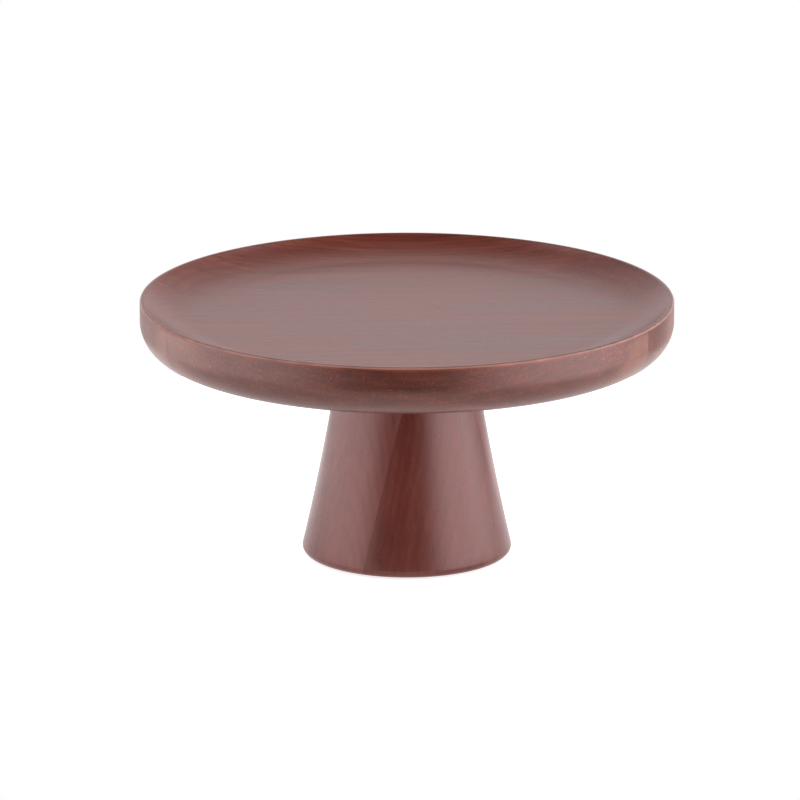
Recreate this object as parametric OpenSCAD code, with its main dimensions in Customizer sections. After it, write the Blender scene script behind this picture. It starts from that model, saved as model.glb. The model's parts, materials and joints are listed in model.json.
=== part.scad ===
// Wooden cake stand: a shallow turned plate, glued up from boards, that screws down by hand
// on a steel stud in the top of a tapered turned pedestal.
// Units mm, +Z up, origin on the axis at the level of the surface the stand rests on.
// The grain of the plate runs along X.

/* [Plate] */
// Diameter across the outside of the rim
plate_d = 300; // [280:1:320]
// Thickness from the underside to the crest of the rim
plate_t = 29.3; // [27:0.1:32]
// Depth of the dish below the crest
dish_depth = 10; // [8:0.5:12]
// Height of the upright band at the top of the rim's side
side_h = 11.5; // [9:0.5:13]
// How much the radius of the lower curve exceeds its own height
belly_extra = 1; // [0:0.5:6]
// Radius of the cove between the dish wall and its floor
cove_r = 45; // [30:1:60]
// Distance from the outside of the rim to the inside edge of the crest
crest_w = 2.5; // [2.5:0.1:5]
// Positions across the grain of the four glue lines between the boards
glue_line_1 = 98; // [90:1:110]
glue_line_2 = 43.5; // [35:0.5:60]
glue_line_3 = -12; // [-30:0.5:-10]
glue_line_4 = -68; // [-90:1:-50]

/* [Pedestal] */
// Height of the plate's underside above the table
underside_h = 118.7; // [100:0.1:150]
// Diameter where the pedestal meets the plate
neck_d = 75; // [66:1:90]
// Largest diameter, at the base
base_d = 118; // [104:1:140]
// How far the side curves in from a straight taper
side_sag = 1.1; // [0.5:0.1:3]
// Radius of the rounded edge at the base
base_round = 3.6; // [2:0.1:6]
// Thickness of the boards the pedestal is glued from
block_t = 35; // [25:1:36]
// Turn of the pedestal's glue lines about the axis
block_turn = 29; // [0:1:90]

/* [Fixing] */
// Diameter of the stud's thread
stud_d = 8; // [6:1:10]
// Running clearance between the stud and the plate's insert, on the radius
thread_gap = 0.05; // [0.02:0.01:0.1]
// Outside diameter of the threaded inserts
insert_d = 12; // [12:0.5:14]
// Length of the insert in the plate
plate_insert_h = 12; // [8:0.5:12]
// Length of the insert in the pedestal
pedestal_insert_h = 20; // [12:1:30]
// Outside diameter of the ring that cushions the joint
ring_d = 60; // [40:1:62]
// Thickness of the ring
ring_t = 1; // [0.8:0.1:2]

/* [Feet] */
// Diameter of each foot pad
pad_d = 12; // [8:1:16]
// Thickness of each foot pad
pad_t = 2; // [1.5:0.5:3]
// Diameter of the circle the pads sit on
pad_circle_d = 86; // [76:1:86]

/* [Hidden] */
$fn = 96;
plate_r = plate_d / 2;
crest_z = underside_h + plate_t;
floor_z = crest_z - dish_depth;
belly_z = crest_z - side_h;
belly_r = plate_t - side_h + belly_extra;
shoulder_r = 1.5;
lip_r = 1;
// an easing arc is this much larger than one that only touches its neighbours, so that they cross
cross = 0.02;
// how far a cutting shape runs past the face it cuts, and past the outside of a piece
over = 1;
beyond = 10;

// centre of the cove's arc, and of the small arc that eases the crest's inside edge
cove_x = plate_r - crest_w - sqrt(cove_r * cove_r - pow(cove_r - dish_depth, 2));
cove_z = floor_z + cove_r;
lip_x = cove_x + sqrt(pow(cove_r + lip_r, 2) - pow(cove_z - crest_z + lip_r, 2));
lip_z = crest_z - lip_r;
lip_share = lip_r / (cove_r + lip_r);
lip_touch = [lip_x + (cove_x - lip_x) * lip_share, lip_z + (cove_z - lip_z) * lip_share];

pad_proud = pad_t / 2;
ring_proud = ring_t / 2;
neck_z = underside_h - ring_proud;
neck_r = neck_d / 2;
base_r = base_d / 2;
neck_ease = 0.6;

// the pedestal's side is an arc of large radius, centred well outside it
side_low = [base_r, pad_proud + base_round];
side_high = [neck_r, neck_z];
side_len = norm(side_high - side_low);
side_arc_r = side_len * side_len / (8 * side_sag) + side_sag / 2;
side_out = [side_high[1] - side_low[1], side_low[0] - side_high[0]] / side_len;
side_arc = (side_low + side_high) / 2 + side_out * (side_arc_r - side_sag);

// the rounded base edge touches both the side and the base
round_z = pad_proud + base_round;
round_x = side_arc[0] - sqrt(pow(side_arc_r + base_round, 2) - pow(side_arc[1] - round_z, 2));
round_share = base_round / (side_arc_r + base_round);
round_touch = [
    round_x + (side_arc[0] - round_x) * round_share,
    round_z + (side_arc[1] - round_z) * round_share
];

stud_r = stud_d / 2;
insert_r = insert_d / 2;
ring_r = ring_d / 2;
ring_margin = 4;
ring_hole_r = insert_r + ring_margin;
ring_floor_z = underside_h - ring_t;
stud_tip = 1;
stud_top_gap = 1;
stud_top_z = underside_h + plate_insert_h - stud_top_gap;
stud_low_z = ring_floor_z - pedestal_insert_h;

// ---- Plate ----

module plate_outline() {
    difference() {
        union() {
            translate([0, underside_h])
                square([plate_r - belly_r, plate_t]);
            translate([0, belly_z])
                square([plate_r, side_h - shoulder_r]);
            translate([0, crest_z - shoulder_r - over])
                square([plate_r - shoulder_r, shoulder_r + over]);
            translate([plate_r - shoulder_r, crest_z - shoulder_r])
                circle(r = shoulder_r);
            intersection() {
                translate([plate_r - belly_r, belly_z])
                    circle(r = belly_r);
                translate([0, underside_h])
                    square([plate_r + over, plate_t - side_h + over]);
            }
        }
        dish_outline();
        lip_outline();
    }
}

// the hollow of the dish: a flat floor that sweeps up the cove to the crest
module dish_outline() {
    translate([-over, floor_z])
        square([cove_x + over, dish_depth + over]);
    intersection() {
        translate([cove_x, cove_z])
            circle(r = cove_r);
        translate([cove_x - over, floor_z])
            square([plate_r, dish_depth + over]);
    }
}

// the sliver taken off where the cove meets the crest
module lip_outline() {
    difference() {
        polygon([
            lip_touch,
            [lip_x, lip_z],
            [lip_x, crest_z + over],
            [lip_touch[0] - lip_r, crest_z + over]
        ]);
        translate([lip_x, lip_z])
            circle(r = lip_r + cross);
    }
}

module plate_board(y_low, y_high) {
    color("sienna")
        intersection() {
            rotate_extrude()
                plate_outline();
            translate([-plate_r - over, y_low, underside_h - over])
                cube([plate_d + 2 * over, y_high - y_low, plate_t + 2 * over]);
        }
}

module plate_board_1() {
    plate_board(glue_line_1, plate_r + over);
}

module plate_board_2() {
    plate_board(glue_line_2, glue_line_1);
}

// the middle board carries the insert
module plate_board_3() {
    difference() {
        plate_board(glue_line_3, glue_line_2);
        translate([0, 0, underside_h - over])
            cylinder(r = insert_r, h = plate_insert_h + over);
    }
}

module plate_board_4() {
    plate_board(glue_line_4, glue_line_3);
}

module plate_board_5() {
    plate_board(-plate_r - over, glue_line_4);
}

module plate_insert() {
    color("goldenrod")
        translate([0, 0, underside_h])
            difference() {
                cylinder(r = insert_r, h = plate_insert_h);
                translate([0, 0, -over])
                    cylinder(r = stud_r, h = plate_insert_h + 2 * over);
            }
}

// ---- Joint ----

module joint_ring() {
    color("dimgray")
        translate([0, 0, ring_floor_z])
            difference() {
                cylinder(r = ring_r, h = ring_t);
                translate([0, 0, -over])
                    cylinder(r = ring_hole_r, h = ring_t + 2 * over);
            }
}

// locked into the pedestal's insert, free to turn in the plate's
module stud() {
    color("silver")
        rotate_extrude()
            polygon([
                [0, stud_low_z],
                [stud_r, stud_low_z],
                [stud_r, ring_floor_z],
                [stud_r - thread_gap, ring_floor_z],
                [stud_r - thread_gap, stud_top_z - stud_tip],
                [stud_r - stud_tip, stud_top_z],
                [0, stud_top_z]
            ]);
}

module pedestal_insert() {
    color("goldenrod")
        translate([0, 0, stud_low_z])
            difference() {
                cylinder(r = insert_r, h = pedestal_insert_h);
                translate([0, 0, -over])
                    cylinder(r = stud_r, h = pedestal_insert_h + 2 * over);
            }
}

// ---- Pedestal ----

module pedestal_outline() {
    difference() {
        translate([0, pad_proud])
            square([base_r + beyond, neck_z - pad_proud]);
        translate(side_arc)
            circle(r = side_arc_r, $fn = 1440);
        base_edge_outline();
        polygon([
            [neck_r - neck_ease, neck_z + over],
            [neck_r + over, neck_z + over],
            [neck_r + over, neck_z - neck_ease - over],
            [neck_r - neck_ease, neck_z]
        ]);
    }
}

// the corner taken off where the side meets the base
module base_edge_outline() {
    difference() {
        polygon([
            [round_x, round_z],
            [round_x, pad_proud - over],
            [base_r + 2 * beyond, pad_proud - over],
            [base_r + 2 * beyond, round_touch[1]],
            round_touch
        ]);
        translate([round_x, round_z])
            circle(r = base_round + cross);
    }
}

module at_each_pad() {
    for (quarter = [0 : 3])
        rotate([0, 0, 45 + 90 * quarter])
            translate([pad_circle_d / 2, 0, 0])
                children();
}

// one glued-up block, between two planes square to the turned direction
module pedestal_block(low, high) {
    color("saddlebrown")
        difference() {
            intersection() {
                rotate_extrude()
                    pedestal_outline();
                rotate([0, 0, block_turn - 90])
                    translate([low, -base_r - beyond, 0])
                        cube([high - low, base_d + 2 * beyond, neck_z + over]);
            }
            translate([0, 0, ring_floor_z])
                cylinder(r = ring_r, h = ring_t + over);
            translate([0, 0, stud_low_z])
                cylinder(r = insert_r, h = pedestal_insert_h + over);
            at_each_pad()
                translate([0, 0, -over])
                    cylinder(r = pad_d / 2, h = pad_t + over);
        }
}

module pedestal_block_1() {
    pedestal_block(block_t, base_r + beyond);
}

module pedestal_block_2() {
    pedestal_block(0, block_t);
}

module pedestal_block_3() {
    pedestal_block(-block_t, 0);
}

module pedestal_block_4() {
    pedestal_block(-base_r - beyond, -block_t);
}

module foot_pad(quarter) {
    color("black")
        rotate([0, 0, 45 + 90 * quarter])
            translate([pad_circle_d / 2, 0, 0])
                cylinder(r = pad_d / 2, h = pad_t);
}

plate_board_1();
plate_board_2();
plate_board_3();
plate_board_4();
plate_board_5();
plate_insert();
joint_ring();
stud();
pedestal_insert();
pedestal_block_1();
pedestal_block_2();
pedestal_block_3();
pedestal_block_4();
foot_pad(0);  // foot_pad_1
foot_pad(1);  // foot_pad_2
foot_pad(2);  // foot_pad_3
foot_pad(3);  // foot_pad_4
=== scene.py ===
# Wooden cake stand: the looks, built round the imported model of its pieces.
import json
import math

import bpy
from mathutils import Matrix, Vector


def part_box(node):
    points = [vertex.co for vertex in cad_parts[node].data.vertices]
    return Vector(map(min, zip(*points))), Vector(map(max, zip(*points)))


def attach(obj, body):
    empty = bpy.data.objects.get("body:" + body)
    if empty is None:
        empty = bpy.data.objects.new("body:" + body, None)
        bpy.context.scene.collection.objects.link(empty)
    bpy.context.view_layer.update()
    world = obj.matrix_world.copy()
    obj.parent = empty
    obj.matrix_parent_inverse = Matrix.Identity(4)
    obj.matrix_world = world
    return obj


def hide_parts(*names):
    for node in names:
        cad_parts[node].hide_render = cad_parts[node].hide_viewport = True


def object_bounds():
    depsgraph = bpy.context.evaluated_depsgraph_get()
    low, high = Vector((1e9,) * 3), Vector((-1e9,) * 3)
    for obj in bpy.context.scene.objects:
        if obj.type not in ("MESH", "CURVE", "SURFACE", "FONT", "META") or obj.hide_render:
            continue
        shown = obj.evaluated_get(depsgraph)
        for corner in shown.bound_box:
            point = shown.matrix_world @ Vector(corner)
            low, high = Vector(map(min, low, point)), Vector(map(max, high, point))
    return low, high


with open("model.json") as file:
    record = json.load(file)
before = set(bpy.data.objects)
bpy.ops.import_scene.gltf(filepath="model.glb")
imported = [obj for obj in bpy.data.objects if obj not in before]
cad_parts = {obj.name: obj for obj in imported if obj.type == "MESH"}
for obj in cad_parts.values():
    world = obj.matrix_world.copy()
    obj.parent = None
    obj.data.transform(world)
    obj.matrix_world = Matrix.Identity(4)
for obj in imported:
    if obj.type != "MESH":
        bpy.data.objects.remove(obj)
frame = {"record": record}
cad_low, cad_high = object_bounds()
MM = 0.001


# ---- Studio ----
# A small pale round table in a plain studio: a tall soft box on each side that reaches below the
# table top, two smaller ones higher up, one overhead towards the camera and a pale backdrop. The
# room behind the camera is dim. Seen directly, the background is plain white.

TABLE_RADIUS = 0.4
TABLE_DROP = 0.05 * MM
CAMERA_LIFT = math.radians(15.4)
CAMERA_DISTANCE = 5.0
CAMERA_AIM = 88.7 * MM
CAMERA_SIDE = -3.9 * MM
CAMERA_LENS = 399.7
TABLE_GLOW = 0.74
LEFT_BOX = 3.0
RIGHT_BOX = 4.2
HIGH_BOXES = 2.9
TOP_BOX = 2.7
BACKDROP_WALL = 0.65
BACKDROP_FOOT = 0.27
DIM_ROOM = 0.16
DIM_CEILING = 0.06


class Value:
    """One output of a node. Arithmetic on it adds Math nodes to the same material."""

    def __init__(self, tree, output):
        self.tree = tree
        self.output = output

    def node(self, kind, settings, inputs, result=0):
        """Adds a node, sets it up, fills or links its inputs by name or place, and wraps one output."""
        made = self.tree.nodes.new(kind)
        for key, setting in settings.items():
            if key == "stops":
                while len(made.color_ramp.elements) < len(setting):
                    made.color_ramp.elements.new(1.0)
                for stop, (place, colour) in zip(made.color_ramp.elements, setting):
                    stop.position = place
                    stop.color = (*colour, 1.0)
            else:
                setattr(made, key, setting)
        for key, given in inputs.items():
            if isinstance(given, Value):
                self.tree.links.new(given.output, made.inputs[key])
            else:
                made.inputs[key].default_value = given
        return Value(self.tree, made.outputs[result])

    def maths(self, operation, *terms):
        return self.node("ShaderNodeMath", {"operation": operation}, dict(enumerate(terms)))

    def __add__(self, other):
        return self.maths("ADD", self, other)

    def __radd__(self, other):
        return self.maths("ADD", other, self)

    def __sub__(self, other):
        return self.maths("SUBTRACT", self, other)

    def __rsub__(self, other):
        return self.maths("SUBTRACT", other, self)

    def __mul__(self, other):
        return self.maths("MULTIPLY", self, other)

    def __rmul__(self, other):
        return self.maths("MULTIPLY", other, self)

    def __truediv__(self, other):
        return self.maths("DIVIDE", self, other)

    def __pow__(self, other):
        return self.maths("POWER", self, other)

    def part(self, axis):
        """One of the three numbers of a vector."""
        return self.node("ShaderNodeSeparateXYZ", {}, {0: self}, axis)

    def moved(self, place, turn=(0, 0, 0), scale=(1, 1, 1)):
        """A point or vector, scaled, turned, then moved."""
        inputs = {"Vector": self, "Location": place, "Rotation": turn, "Scale": scale}
        return self.node("ShaderNodeMapping", {}, inputs)

    def noise(self, scale, detail=2.0, rough=0.5):
        inputs = {"Vector": self, "Scale": scale, "Detail": detail, "Roughness": rough}
        return self.node("ShaderNodeTexNoise", {}, inputs)

    def between(self, low, high):
        """0 below low, 1 above high, smooth between."""
        settings = {"interpolation_type": "SMOOTHSTEP"}
        return self.node("ShaderNodeMapRange", settings, {0: self, 1: low, 2: high, 3: 0.0, 4: 1.0})

    def tint(self, first, second):
        """A colour from first to second as this number goes from 0 to 1."""
        return self.node("ShaderNodeMix", {"data_type": "RGBA"}, {0: self, 6: first, 7: second}, 2)


def new_material(name):
    """A material with its shader and its tree's Object coordinates."""
    material = bpy.data.materials.new(name)
    material.use_nodes = True
    tree = material.node_tree
    shader = tree.nodes["Principled BSDF"]
    point = Value(tree, tree.nodes.new("ShaderNodeTexCoord").outputs["Object"])
    return material, shader, point


def feed(shader, **channels):
    """Links what varies, and sets what doesn't, on a shader's sockets. Underscores stand for spaces."""
    tree = shader.id_data
    for name, given in channels.items():
        socket = shader.inputs[name.replace("_", " ")]
        if isinstance(given, Value):
            tree.links.new(given.output, socket)
        else:
            socket.default_value = given


bpy.ops.object.select_all(action="DESELECT")
bpy.ops.mesh.primitive_circle_add(
    vertices=96, radius=TABLE_RADIUS, fill_type="NGON", location=(0, 0, cad_low.z - TABLE_DROP)
)
floor = bpy.context.object
floor.name = "floor"
floor_paint, floor_shader, floor_point = new_material("floor_paint")
feed(floor_shader, Base_Color=(0.7, 0.7, 0.7, 1), Roughness=0.9, Specular_IOR_Level=0.1)
feed(floor_shader, Emission_Color=(1, 1, 1, 1), Emission_Strength=TABLE_GLOW)
floor.data.materials.append(floor_paint)

world = bpy.data.worlds.new("studio")
bpy.context.scene.world = world
world.use_nodes = True
sky = world.node_tree

# Each direction's height, its angle round from the camera (right is positive) and its angle over the
# back wall, in degrees.
way = Value(sky, sky.nodes.new("ShaderNodeTexCoord").outputs["Generated"])
to_right = way.part(0)
to_back = way.part(1)
upward = way.part(2)
to_side = to_right.maths("ARCTAN2", to_right, 0 - to_back) * (180 / math.pi)
turned_away = to_side.maths("ABSOLUTE", to_side)
over_back = upward.maths("ARCTAN2", upward, to_back) * (180 / math.pi)

# The two tall side boxes. Below the horizon the left one reaches further round to the back, and above
# it the right one does.
low_band = 1 - upward.between(math.sin(math.radians(28)), math.sin(math.radians(40)))
low_band = low_band * upward.between(-0.75, -0.55)
from_left = 0 - to_side - 12 * upward.between(0, 0.14)
left_far = turned_away + 17 * upward.between(-0.1, 0.1)
right_far = turned_away - 13 * upward.between(-0.1, 0.1)
left_box = LEFT_BOX * from_left.between(18, 58) * (1 - left_far.between(97, 153))
right_box = RIGHT_BOX * to_side.between(14, 56) * (1 - right_far.between(83, 134))
side_boxes = (left_box + right_box) * low_band

# The two small boxes higher up, the one overhead, the backdrop and the dim room.
high_band = upward.between(0.6, 0.72) * (1 - upward.between(0.8, 0.92))
high_boxes = HIGH_BOXES * high_band * turned_away.between(60, 80) * (1 - turned_away.between(115, 135))
top_box = TOP_BOX * over_back.between(100, 120) * upward.between(0.72, 0.86)
backdrop = BACKDROP_WALL * (1 - over_back.between(38, 80))
backdrop = backdrop + BACKDROP_FOOT * (1 - over_back.between(12, 30))
backdrop = backdrop * turned_away.between(103, 151) * (0.8 + 0.2 * upward.between(-0.04, 0.12))
dim_room = DIM_ROOM + DIM_CEILING * upward.between(0.3, 0.9)
glow = dim_room + side_boxes + high_boxes + top_box + backdrop

# Seen directly, the background is plain white. The light that falls on the wood is faintly pink.
seen = Value(sky, sky.nodes.new("ShaderNodeLightPath").outputs["Is Camera Ray"])
brightness = glow * (1 - seen) + seen
sky.links.new(brightness.output, sky.nodes["Background"].inputs["Strength"])
tinge = seen.tint((1.0, 0.965, 0.99, 1), (1, 1, 1, 1))
sky.links.new(tinge.output, sky.nodes["Background"].inputs["Color"])

bpy.context.scene.view_settings.view_transform = "Standard"

camera_data = bpy.data.cameras.new("camera")
camera_data.lens = CAMERA_LENS
camera_data.clip_end = 60
camera = bpy.data.objects.new("camera", camera_data)
back_off = CAMERA_DISTANCE * math.cos(CAMERA_LIFT)
camera.location = (CAMERA_SIDE, -back_off, CAMERA_AIM + CAMERA_DISTANCE * math.sin(CAMERA_LIFT))
camera.rotation_euler = (math.pi / 2 - CAMERA_LIFT, 0, 0)
bpy.context.collection.objects.link(camera)
bpy.context.scene.camera = camera


# ---- Plate ----
# One disc glued up from five boards, turned to a shallow dish with a thin rim, stained reddish brown
# and lacquered. Its grain runs along X, so the rim shows end grain at its left and right.

GLUE_LINES = [98 * MM, 43.5 * MM, -12 * MM, -68 * MM]
SIDE_HEIGHT = 11.5 * MM
BELLY_EXTRA = 1 * MM
SHOULDER = 1.5 * MM
LIP = 1 * MM
CREST_WIDTH = 2.5 * MM
COVE = 45 * MM
TURNED_STEPS = 240


def arc(centre, radius, start, end, steps):
    """Points of an arc in the turned section, as distance from the axis and height. Angles in radians."""
    points = []
    for step in range(steps + 1):
        angle = start + (end - start) * step / steps
        points.append((centre[0] + radius * math.cos(angle), centre[1] + radius * math.sin(angle)))
    return points


def turned(name, outline, steps=TURNED_STEPS):
    """A closed solid turned about the Z axis: the outline is drawn point by point, then spun."""
    bpy.ops.object.select_all(action="DESELECT")
    bpy.ops.mesh.primitive_plane_add(size=1 * MM)
    piece = bpy.context.object
    piece.name = name
    piece.data.name = name
    bpy.ops.object.mode_set(mode="EDIT")
    bpy.ops.mesh.select_all(action="SELECT")
    bpy.ops.mesh.merge(type="CENTER")
    place = (0, 0)
    first = True
    for point in outline:
        step = (point[0] - place[0], 0, point[1] - place[1])
        if first:
            bpy.ops.transform.translate(value=step)
        else:
            bpy.ops.mesh.extrude_region_move(TRANSFORM_OT_translate={"value": step})
        place = point
        first = False
    bpy.ops.mesh.select_all(action="SELECT")
    bpy.ops.mesh.spin(steps=steps, angle=2 * math.pi, center=(0, 0, 0), axis=(0, 0, 1))
    bpy.ops.mesh.select_all(action="SELECT")
    bpy.ops.mesh.remove_doubles(threshold=0.001 * MM)
    bpy.ops.mesh.normals_make_consistent(inside=False)
    bpy.ops.object.mode_set(mode="OBJECT")
    return piece


def cut_from(piece, cutter):
    """Cuts one closed solid out of another, and clears the cutter away."""
    bpy.ops.object.select_all(action="DESELECT")
    bpy.context.view_layer.objects.active = piece
    piece.select_set(True)
    cut = piece.modifiers.new("cut", "BOOLEAN")
    cut.operation = "DIFFERENCE"
    cut.solver = "EXACT"
    cut.object = cutter
    bpy.ops.object.modifier_apply(modifier=cut.name)
    bpy.data.objects.remove(cutter)


def slice_of(blank, name, facing, low, high):
    """A copy of a blank between two planes square to a direction, closed where it is cut."""
    piece = bpy.data.objects.new(name, blank.data.copy())
    bpy.context.collection.objects.link(piece)
    bpy.ops.object.select_all(action="DESELECT")
    bpy.context.view_layer.objects.active = piece
    piece.select_set(True)
    bpy.ops.object.mode_set(mode="EDIT")
    for place, keeps_low in ((low, False), (high, True)):
        if place is None:
            continue
        bpy.ops.mesh.select_all(action="SELECT")
        bpy.ops.mesh.bisect(
            plane_co=tuple(place * part for part in facing),
            plane_no=facing,
            use_fill=True,
            clear_inner=not keeps_low,
            clear_outer=keeps_low,
        )
    bpy.ops.object.mode_set(mode="OBJECT")
    bpy.ops.object.shade_smooth_by_angle(angle=math.radians(35))
    return piece


def wood(name, grain_turn, pith, seed, shades, contrast, glue_lines=(), rim=None):
    """Stained and lacquered hardwood, solid right through: growth rings about a pith line, fibres and
    pores drawn out along the grain, and a hairline of glue where a board ends. The shades are the stain's
    deep, middle and light, then the dark of pores, the pale of flecks and the crest's pale line, which is
    partly wear and partly a painted highlight. A rim, given as its radius and crest, gets end grain, pits
    and patches on its turned outside, and that pale line along its crest."""
    material, shader, point = new_material(name)
    local = point.moved((0, 0, 0), turn=grain_turn)
    shifted = local.moved((seed * 0.731, pith[0], pith[1]))

    wander = shifted.moved((0, 0, 0), scale=(2.2, 9, 9)).noise(1.0, 3.0, 0.55)
    ripple = shifted.moved((0, 0, 0), scale=(9, 60, 60)).noise(1.0, 3.0, 0.6)
    across = shifted.part(1)
    up = shifted.part(2)
    radius = (across * across + up * up) ** 0.5
    rings = radius * 300 + wander * 5.0 + ripple * 0.7
    ring = rings.maths("FRACT", rings)
    late = ring.between(0.25, 0.92) * (1 - ring.between(0.94, 1.0))

    fibre = shifted.moved((0, 0, 0), scale=(14, 900, 900)).noise(1.0, 4.0, 0.65)
    streak = shifted.moved((0, 0, 0), scale=(5, 160, 160)).noise(1.0, 4.0, 0.6)
    cloud = shifted.moved((0, 0, 0), scale=(7, 16, 16)).noise(1.0, 2.0, 0.5)

    stretched = shifted.moved((0, 0, 0), scale=(110, 1100, 1100))
    cells = stretched.node("ShaderNodeTexVoronoi", {"feature": "F1"}, {"Vector": stretched, "Scale": 1.0})
    sparse = shifted.moved((0, 0, 0), scale=(30, 260, 260)).noise(1.0, 2.0, 0.6)
    pores = (1 - cells.between(0.14, 0.34)) * sparse.between(0.45, 0.62)

    figure = (streak - 0.5) * 1.1 + (fibre - 0.5) * 0.55 + (cloud - 0.5) * 0.7 - late * 0.16
    tone = 0.52 + figure * contrast
    deep, middle, light = shades[:3]
    dark, pale, worn_and_highlit = [(*shade, 1) for shade in shades[3:]]
    stops = [(0.15, deep), (0.5, middle), (0.85, light)]
    stain = tone.node("ShaderNodeValToRGB", {"stops": stops}, {0: tone})
    colour = (pores * 0.22).tint(stain, dark)

    speckle = point.noise(900.0, 3.0, 0.7)
    flecks = speckle.between(0.56, 0.7)
    if rim:
        rim_radius, crest = rim
        along = point.part(0)
        level = point.part(2)
        from_axis = (along * along + point.part(1) * point.part(1)) ** 0.5
        slope = rim_radius * 0.9 - crest
        turned_side = (from_axis * 0.9 - level).between(slope + 1.5 * MM, slope + 2.3 * MM)
        turned_side = turned_side * from_axis.between(rim_radius * 0.77, rim_radius * 0.94)
        end_grain = ((along * along) / rim_radius**2).between(0.15, 0.75) * turned_side
        colour = (turned_side * (0.44 - end_grain * 0.2)).tint(colour, dark)
        pits = 1 - speckle.between(0.38, 0.52)
        patches = point.moved((3, 0, 0), scale=(55, 55, 170)).noise(1.0, 4.0, 0.65).between(0.42, 0.62)
        colour = (turned_side * pits * 0.4).tint(colour, dark)
        colour = (turned_side * patches * 0.42).tint(colour, dark)
        colour = (turned_side * flecks * (0.2 + end_grain * 0.3) * (1 - patches * 0.4)).tint(colour, pale)
        colour = (end_grain * cloud.between(0.42, 0.7) * 0.25).tint(colour, pale)
        # A pale line along the outer edge of the crest: partly edge wear, partly a painted highlight.
        edge = from_axis.between(rim_radius - 1.1 * MM, rim_radius - 0.6 * MM)
        edge = edge * level.between(crest - 1.2 * MM, crest - 0.7 * MM)
        colour = (edge * (0.06 + streak * 0.4)).tint(colour, worn_and_highlit)
    else:
        turned_side = flecks * 0
        colour = (flecks * sparse.between(0.5, 0.65) * 0.16).tint(colour, pale)

    if glue_lines:
        nearest = None
        for line in glue_lines:
            away = point.part(1) - line
            away = away.maths("ABSOLUTE", away)
            nearest = away if nearest is None else nearest.maths("MINIMUM", nearest, away)
        glue = 1 - nearest.between(0.05 * MM, 0.25 * MM)
        colour = (glue * 0.4).tint(colour, dark)

    rough = 0.29 + (streak - 0.5) * 0.12 + pores * 0.08 + (cloud - 0.5) * 0.08 + turned_side * 0.05
    relief = fibre * 0.25 + streak * 0.35 - pores * 0.2 - late * 0.15
    relief = relief + speckle * (0.25 + turned_side * 0.6)
    bump = relief.node("ShaderNodeBump", {}, {"Strength": 0.2, "Distance": 0.12 * MM, "Height": relief})
    feed(shader, Base_Color=colour, Roughness=rough, Normal=bump)
    feed(shader, Specular_IOR_Level=0.62, Specular_Tint=(1.0, 0.74, 0.72, 1))
    return material


plate_low, plate_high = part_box("plate_board_3")
rim_radius = plate_high.x
underside = plate_low.z
crest = plate_high.z
mounts = {mount["name"]: mount for mount in frame["record"]["mounts"]}
dish_floor = mounts["cake_surface"]["pos_m"][2]

belly_depth = crest - SIDE_HEIGHT - underside
belly = belly_depth + BELLY_EXTRA
belly_middle = (rim_radius - belly, crest - SIDE_HEIGHT)
depth = crest - dish_floor
cove_middle = (rim_radius - CREST_WIDTH - math.sqrt(COVE**2 - (COVE - depth) ** 2), dish_floor + COVE)
lip_drop = cove_middle[1] - crest + LIP
lip_middle = (cove_middle[0] + math.sqrt((COVE + LIP) ** 2 - lip_drop**2), crest - LIP)
lip_angle = math.atan2(cove_middle[1] - lip_middle[1], cove_middle[0] - lip_middle[0])

insert_low, insert_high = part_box("plate_insert")
plate_outline = [(0, insert_high.z), (insert_high.x, insert_high.z), (insert_high.x, underside)]
plate_outline += [(rim_radius * 0.3, underside), (rim_radius * 0.6, underside)]
plate_outline += arc(belly_middle, belly, -math.asin(belly_depth / belly), 0, 22)
plate_outline += [(rim_radius, crest - SIDE_HEIGHT / 2)]
plate_outline += arc((rim_radius - SHOULDER, crest - SHOULDER), SHOULDER, 0, math.pi / 2, 8)
plate_outline += arc(lip_middle, LIP, math.pi / 2, lip_angle, 6)
plate_outline += arc(cove_middle, COVE, lip_angle - math.pi, -math.pi / 2, 26)[1:]
plate_outline += [(cove_middle[0] * 0.6, dish_floor), (cove_middle[0] * 0.3, dish_floor), (0, dish_floor)]

PLATE_SHADES = (
    (0.072, 0.0110, 0.005),
    (0.112, 0.0200, 0.009),
    (0.168, 0.0380, 0.018),
    (0.024, 0.0060, 0.0035),
    (0.330, 0.1700, 0.115),
    # The crest's pale line: partly wear, partly a painted highlight.
    (0.520, 0.3700, 0.310),
)
plate_blank = turned("plate_blank", plate_outline)
board_edges = [None, *GLUE_LINES[::-1], None]
board_names = ["plate_board_5", "plate_board_4", "plate_board_3", "plate_board_2", "plate_board_1"]
board_piths = [(30, 70), (-40, 55), (15, -60), (-70, 60), (-60, -75)]
for count, node in enumerate(board_names):
    board = slice_of(plate_blank, f"turned_{node}", (0, 1, 0), board_edges[count], board_edges[count + 1])
    pith = [part * MM for part in board_piths[count]]
    board.data.materials.clear()
    board.data.materials.append(
        wood(f"wood_{node}", (0, 0, 0), pith, count + 1, PLATE_SHADES, 1.0, GLUE_LINES, (rim_radius, crest))
    )
    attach(board, "plate")
    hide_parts(node)
bpy.data.objects.remove(plate_blank)


# ---- Pedestal ----
# Four blocks glued up and turned to a slightly hollow taper with a rounded foot, grain upright,
# in the same stain and lacquer as the plate. The two middle blocks are paler: partly their own
# tone, partly a painted sheen.

SIDE_SAG = 1.1 * MM
BASE_ROUND = 3.6 * MM
NECK_EASE = 0.6 * MM
BASE_RADIUS = 59 * MM
NECK_RADIUS = 37.5 * MM
BLOCK_TURN = math.radians(29 - 90)
BLOCK_STEP = 35 * MM

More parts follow.
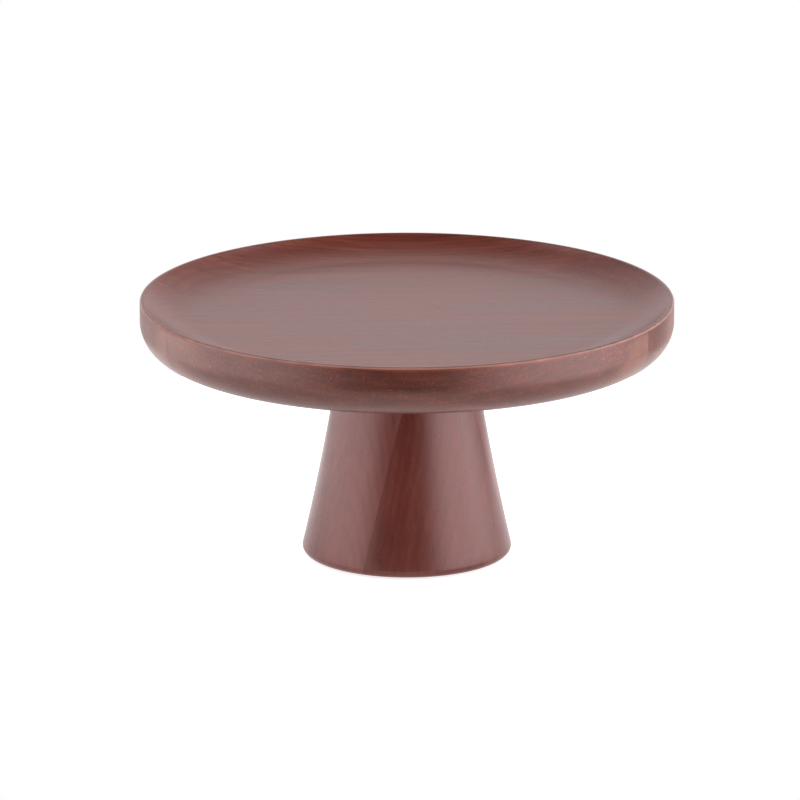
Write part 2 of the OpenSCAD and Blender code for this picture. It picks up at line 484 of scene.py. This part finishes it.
foot_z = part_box("pedestal_block_1")[0].z
neck_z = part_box("pedestal_block_1")[1].z
side_low = Vector((BASE_RADIUS, foot_z + BASE_ROUND))
side_high = Vector((NECK_RADIUS, neck_z))
chord = side_high - side_low
side_radius = chord.length_squared / (8 * SIDE_SAG) + SIDE_SAG / 2
side_out = Vector((chord.y, -chord.x)).normalized()
side_middle = (side_low + side_high) / 2 + side_out * (side_radius - SIDE_SAG)
round_z = foot_z + BASE_ROUND
round_reach = math.sqrt((side_radius + BASE_ROUND) ** 2 - (side_middle.y - round_z) ** 2)
round_middle = (side_middle.x - round_reach, round_z)
round_angle = math.atan2(side_middle.y - round_z, round_reach)
neck_angle = math.asin((side_middle.y - neck_z + NECK_EASE) / side_radius)

ring_low, ring_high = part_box("joint_ring")
insert_low, insert_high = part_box("pedestal_insert")
pedestal_outline = [(0, foot_z), (BASE_RADIUS * 0.45, foot_z)]
pedestal_outline += arc(round_middle, BASE_ROUND, -math.pi / 2, round_angle, 10)
pedestal_outline += arc(side_middle, side_radius, math.pi + round_angle, math.pi + neck_angle, 24)[1:]
pedestal_outline += [
    (NECK_RADIUS - NECK_EASE, neck_z),
    (ring_high.x, neck_z),
    (ring_high.x, ring_low.z),
    (insert_high.x, ring_low.z),
    (insert_high.x, insert_low.z),
    (0, insert_low.z),
]
DARK_SHADES = (
    (0.056, 0.0085, 0.005),
    (0.088, 0.0160, 0.010),
    (0.132, 0.0310, 0.020),
    (0.022, 0.0060, 0.004),
    (0.300, 0.1500, 0.110),
    (0.420, 0.2800, 0.230),
)
# The two middle blocks' shades, paler partly by their own tone and partly by a painted sheen.
PALE_BOARD_AND_SHEEN_SHADES = (
    (0.082, 0.0180, 0.013),
    (0.124, 0.0340, 0.027),
    (0.172, 0.0520, 0.043),
    (0.030, 0.0080, 0.005),
    (0.300, 0.1500, 0.110),
    (0.420, 0.2800, 0.230),
)
pedestal_blank = turned("pedestal_blank", pedestal_outline)

pads = ["foot_pad_1", "foot_pad_2", "foot_pad_3", "foot_pad_4"]
pad_low, pad_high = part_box("foot_pad_1")
pad_radius = (pad_high.x - pad_low.x) / 2
for node in pads:
    pad_low, pad_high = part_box(node)
    pad_middle = (pad_low + pad_high) / 2
    bpy.ops.object.select_all(action="DESELECT")
    bpy.ops.mesh.primitive_cylinder_add(
        vertices=64,
        radius=pad_radius,
        depth=(pad_high.z - pad_low.z) * 2,
        location=(pad_middle.x, pad_middle.y, pad_low.z),
    )
    cut_from(pedestal_blank, bpy.context.object)

facing = (math.cos(BLOCK_TURN), math.sin(BLOCK_TURN), 0)
block_edges = [None, -BLOCK_STEP, 0, BLOCK_STEP, None]
block_names = ["pedestal_block_4", "pedestal_block_3", "pedestal_block_2", "pedestal_block_1"]
block_piths = [(50, 60), (-45, 70), (60, -50), (-30, -80)]
for count, node in enumerate(block_names):
    block = slice_of(pedestal_blank, f"turned_{node}", facing, block_edges[count], block_edges[count + 1])
    pith = [part * MM for part in block_piths[count]]
    block.data.materials.clear()
    # The two middle blocks take the paler shades: partly board tone, partly painted sheen.
    shades = PALE_BOARD_AND_SHEEN_SHADES if node in ("pedestal_block_2", "pedestal_block_3") else DARK_SHADES
    block.data.materials.append(wood(f"wood_{node}", (0, math.pi / 2, 0), pith, count + 11, shades, 0.7))
    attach(block, "pedestal")
    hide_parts(node)
bpy.data.objects.remove(pedestal_blank)


# ---- Threaded inserts ----
# Two turned brass sleeves with an M8 thread, screwed into the plate and the pedestal by the slot
# across their outer ends, and flush with the wood.

PITCH = 1.25 * MM
BORE = 4.05 * MM
THREAD_ROWS = 8
INSERT_THREAD = 0.5 * MM
INSERT_MOUTH = 0.5 * MM
INSERT_EASE = 0.3 * MM
SLOT_SIZE = (16 * MM, 1.6 * MM, 3 * MM)


def cut_thread(piece, low, high, inner, outer, runout=0.7 * MM):
    """Turns a plain turned wall into a right-hand thread by moving its points in or out."""
    for vertex in piece.data.vertices:
        place = vertex.co
        radius = math.hypot(place.x, place.y)
        if abs(radius - inner) > 0.01 * MM or not low <= place.z <= high:
            continue
        phase = (place.z / PITCH - math.atan2(place.y, place.x) / (2 * math.pi)) % 1
        ridge = min(1, max(0, abs(phase - 0.5) * 3 - 0.25))
        depth = ridge * min(1, (place.z - low) / runout, (high - place.z) / runout)
        scale = (inner + (outer - inner) * depth) / radius
        place.x *= scale
        place.y *= scale


def rows_between(low, high):
    """Heights from low to high, fine enough to carry a thread."""
    count = round((high - low) / PITCH * THREAD_ROWS)
    return [low + (high - low) * row / count for row in range(count + 1)]


def metal(name, tint, dull, low_rough, high_rough, rings):
    """Machined metal: fine turning marks round the axis, duller patches and a little handling wear."""
    material, shader, point = new_material(name)
    across = point.part(0)
    along = point.part(1)
    radius = (across * across + along * along) ** 0.5
    turning = radius * rings + point.noise(300, 2) * 3
    marks = turning.maths("SINE", turning)
    patch = point.noise(260, 4, 0.6)
    fine = point.noise(2600, 3, 0.6)
    tone = patch.between(0.35, 0.65) * 0.8 + (fine - 0.5) * 0.6
    rough = low_rough + (high_rough - low_rough) * patch + (fine - 0.5) * 0.15
    relief = marks * 0.4 + fine * 0.6
    bump = relief.node("ShaderNodeBump", {}, {"Strength": 0.25, "Distance": 0.03 * MM, "Height": relief})
    feed(shader, Base_Color=tone.tint(tint, dull), Metallic=1.0, Roughness=rough, Normal=bump)
    return material


brass = metal("brass", (0.80, 0.56, 0.24, 1), (0.52, 0.34, 0.14, 1), 0.24, 0.5, 40000)
for node, body, slot_side in (("plate_insert", "plate", -1), ("pedestal_insert", "pedestal", 1)):
    insert_low, insert_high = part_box(node)
    outside = insert_high.x
    thread_low = insert_low.z + INSERT_MOUTH
    thread_high = insert_high.z - INSERT_MOUTH
    section = [
        (BORE + INSERT_MOUTH, insert_low.z),
        (outside - INSERT_EASE, insert_low.z),
        (outside, insert_low.z + INSERT_EASE),
        (outside, insert_high.z - INSERT_EASE),
        (outside - INSERT_EASE, insert_high.z),
        (BORE + INSERT_MOUTH, insert_high.z),
    ]
    section += [(BORE, z) for z in reversed(rows_between(thread_low, thread_high))]
    section += [section[0]]
    insert = turned(f"turned_{node}", section, 64)
    cut_thread(insert, thread_low, thread_high, BORE, BORE + INSERT_THREAD)
    face = insert_low.z if slot_side < 0 else insert_high.z
    bpy.ops.object.select_all(action="DESELECT")
    bpy.ops.mesh.primitive_cube_add(size=1, location=(0, 0, face), scale=SLOT_SIZE)
    bpy.ops.object.transform_apply(location=False, rotation=False, scale=True)
    cut_from(insert, bpy.context.object)
    bpy.ops.object.shade_smooth_by_angle(angle=math.radians(30))
    insert.data.materials.clear()
    insert.data.materials.append(brass)
    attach(insert, body)
    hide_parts(node)


# ---- Stud ----
# A length of zinc-plated M8 rod, locked into the pedestal's insert. The plate screws down on the
# 11 mm that stand above the joint.

STUD_MAJOR = 3.95 * MM
STUD_MINOR = 3.3 * MM
STUD_EASE = 0.9 * MM

stud_low, stud_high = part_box("stud")
thread_low = stud_low.z + STUD_EASE
thread_high = stud_high.z - STUD_EASE
section = [(0, stud_low.z), (STUD_MAJOR - STUD_EASE, stud_low.z)]
section += [(STUD_MAJOR, z) for z in rows_between(thread_low, thread_high)]
section += [(STUD_MAJOR - STUD_EASE, stud_high.z), (0, stud_high.z)]
rod = turned("threaded_rod", section, 64)
cut_thread(rod, thread_low, thread_high, STUD_MAJOR, STUD_MINOR)
bpy.ops.object.shade_smooth_by_angle(angle=math.radians(30))
rod.data.materials.clear()
rod.data.materials.append(metal("zinc", (0.70, 0.71, 0.73, 1), (0.46, 0.47, 0.50, 1), 0.26, 0.48, 52000))
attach(rod, "pedestal")
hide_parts("stud")


# ---- Joint ring ----
# A flat black rubber ring, sunk half its thickness into the top of the pedestal. It cushions the
# two wooden faces and stops the plate working loose.


def rubber(name, grey):
    """Moulded black rubber with a faint bloom and a fine pebbled skin."""
    material, shader, point = new_material(name)
    bloom = point.noise(90, 4, 0.6)
    pebble = point.noise(1800, 3, 0.6)
    tone = bloom.between(0.35, 0.7) * 0.7 + (pebble - 0.5) * 0.6
    colour = tone.tint((grey, grey, grey, 1), (grey * 2.6, grey * 2.5, grey * 2.4, 1))
    rough = 0.55 + bloom * 0.25 + (pebble - 0.5) * 0.2
    bump = pebble.node("ShaderNodeBump", {}, {"Strength": 0.4, "Distance": 0.05 * MM, "Height": pebble})
    feed(shader, Base_Color=colour, Roughness=rough, Normal=bump, Specular_IOR_Level=0.4)
    return material


def rounded(corners, radius, steps=5):
    """A closed section with straight sides along the axes and its corners rounded."""
    (left, bottom), (right, top) = corners
    quarter = math.pi / 2
    points = arc((right - radius, bottom + radius), radius, -quarter, 0, steps)
    points += arc((right - radius, top - radius), radius, 0, quarter, steps)
    points += arc((left + radius, top - radius), radius, quarter, 2 * quarter, steps)
    points += arc((left + radius, bottom + radius), radius, 2 * quarter, 3 * quarter, steps)
    return points + [points[0]]


RING_HOLE = 10 * MM
RING_EDGE = 0.3 * MM
ring_low, ring_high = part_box("joint_ring")
section = rounded(((RING_HOLE, ring_low.z), (ring_high.x, ring_high.z)), RING_EDGE)
washer = turned("rubber_ring", section, 128)
bpy.ops.object.shade_smooth_by_angle(angle=math.radians(30))
washer.data.materials.clear()
washer.data.materials.append(rubber("ring_rubber", 0.018))
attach(washer, "ring")
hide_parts("joint_ring")


# ---- Foot pads ----
# Four moulded rubber discs, glued into shallow holes in the underside and standing 1 mm proud of it,
# each with a rounded edge and a ring moulded into its face.

PAD_EDGE = 0.5 * MM
PAD_BACK_EDGE = 0.1 * MM
GROOVE_DEPTH = 0.3 * MM
groove = [(4.0 * MM, 0), (3.8 * MM, GROOVE_DEPTH), (3.2 * MM, GROOVE_DEPTH), (3.0 * MM, 0)]

pad_top = pad_high.z
section = [(0, 0)]
section += groove[::-1]
section += arc((pad_radius - PAD_EDGE, PAD_EDGE), PAD_EDGE, -math.pi / 2, 0, 6)
section += [(pad_radius, pad_top - PAD_BACK_EDGE), (pad_radius - PAD_BACK_EDGE, pad_top), (0, pad_top)]
pad_pattern = turned("pad_pattern", section, 64)
pad_rubber = rubber("pad_rubber", 0.022)
for node in pads:
    pad_low, pad_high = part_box(node)
    pad_middle = (pad_low + pad_high) / 2
    pad = bpy.data.objects.new(f"moulded_{node}", pad_pattern.data.copy())
    bpy.context.collection.objects.link(pad)
    bpy.ops.object.select_all(action="DESELECT")
    bpy.context.view_layer.objects.active = pad
    pad.select_set(True)
    bpy.ops.object.mode_set(mode="EDIT")
    bpy.ops.mesh.select_all(action="SELECT")
    bpy.ops.transform.translate(value=(pad_middle.x, pad_middle.y, 0))
    bpy.ops.object.mode_set(mode="OBJECT")
    bpy.ops.object.shade_smooth_by_angle(angle=math.radians(30))
    pad.data.materials.clear()
    pad.data.materials.append(pad_rubber)
    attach(pad, "pedestal")
    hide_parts(node)
bpy.data.objects.remove(pad_pattern)
